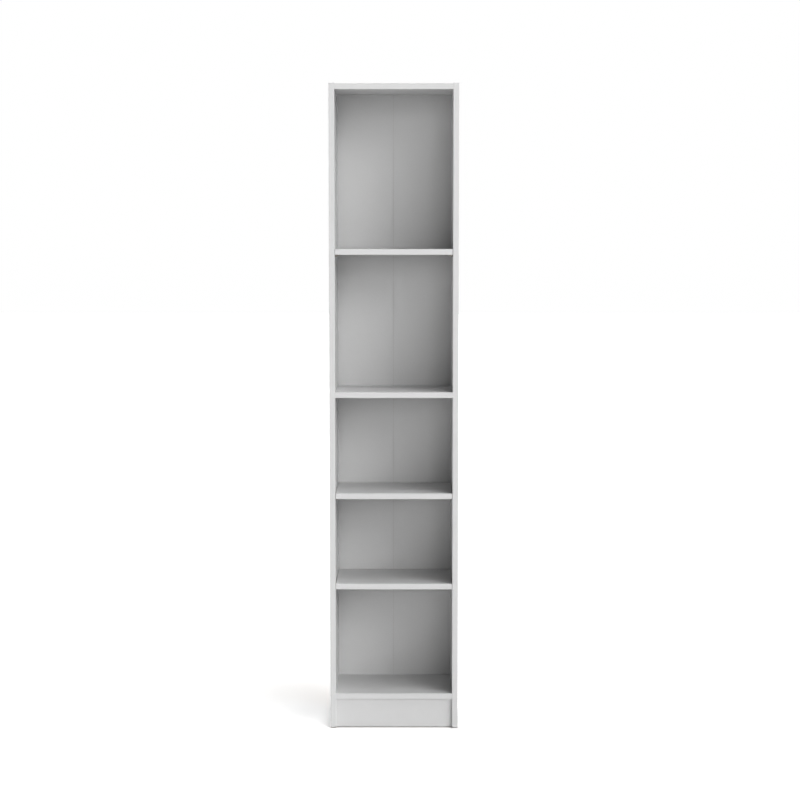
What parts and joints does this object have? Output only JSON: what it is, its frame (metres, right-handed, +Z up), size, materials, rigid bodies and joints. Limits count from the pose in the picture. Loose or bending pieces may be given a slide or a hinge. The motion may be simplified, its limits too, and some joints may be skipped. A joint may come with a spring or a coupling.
{
  "type": "bookcase with adjustable shelves",
  "caption": "Tall narrow open bookcase with a fixed middle shelf, adjustable shelves on pins, a plinth and a folding hardboard back.",
  "frame": {"origin": "on the floor under the centre of the footprint", "axes": "+Z up, -Y out of the open front, +X to the right seen from the front"},
  "size_m": [0.405, 0.267, 2.034],
  "materials": {
    "melamine_board": "white melamine face on chipboard, satin",
    "edge_banding": "white edge strip, satin",
    "hardboard": "white lacquered face, bare brown fibres behind",
    "paper_tape": "plain kraft paper",
    "nail_steel": "bright zinc",
    "zinc": "die-cast zinc, dull",
    "fitting_steel": "zinc plated",
    "pin_steel": "nickel plated, satin",
    "beech": "raw beech",
    "glide_plastic": "matt"
  },
  "bodies": {
    "case": {"back_leaf_left": "hardboard", "back_leaf_right": "hardboard", "back_nails": "nail_steel", "back_tape": "paper_tape", "bottom_panel": "melamine_board", "bottom_panel_edge": "edge_banding", "cam_bolts": "fitting_steel", "cam_locks": "zinc", "dowels": "beech", "glide_nails": "nail_steel", "glides": "glide_plastic", "middle_shelf": "melamine_board", "middle_shelf_edge": "edge_banding", "plinth": "melamine_board", "side_edge_left": "edge_banding", "side_edge_right": "edge_banding", "side_panel_left": "melamine_board", "side_panel_right": "melamine_board", "side_top_edge_left": "edge_banding", "side_top_edge_right": "edge_banding", "top_panel": "melamine_board", "top_panel_edge": "edge_banding"},
    "pins_1": {"shelf_pins_1": "pin_steel"},
    "shelf_1": {"adjustable_shelf_1": "melamine_board", "adjustable_shelf_1_edge": "edge_banding"},
    "pins_2": {"shelf_pins_2": "pin_steel"},
    "shelf_2": {"adjustable_shelf_2": "melamine_board", "adjustable_shelf_2_edge": "edge_banding"},
    "pins_3": {"shelf_pins_3": "pin_steel"},
    "shelf_3": {"adjustable_shelf_3": "melamine_board", "adjustable_shelf_3_edge": "edge_banding"}
  },
  "joints": [
    {"name": "shelf_1_height", "type": "slide", "parent": "case", "child": "pins_1", "axis": [0, 0, 1], "range_m": [-0.096, 0.096]},
    {"name": "shelf_1_pull_out", "type": "slide", "parent": "pins_1", "child": "shelf_1", "axis": [0, -1, 0], "range_m": [0, 0.26]},
    {"name": "shelf_2_height", "type": "slide", "parent": "case", "child": "pins_2", "axis": [0, 0, 1], "range_m": [-0.096, 0.096]},
    {"name": "shelf_2_pull_out", "type": "slide", "parent": "pins_2", "child": "shelf_2", "axis": [0, -1, 0], "range_m": [0, 0.26]},
    {"name": "shelf_3_height", "type": "slide", "parent": "case", "child": "pins_3", "axis": [0, 0, 1], "range_m": [-0.096, 0.096]},
    {"name": "shelf_3_pull_out", "type": "slide", "parent": "pins_3", "child": "shelf_3", "axis": [0, -1, 0], "range_m": [0, 0.26]}
  ]
}
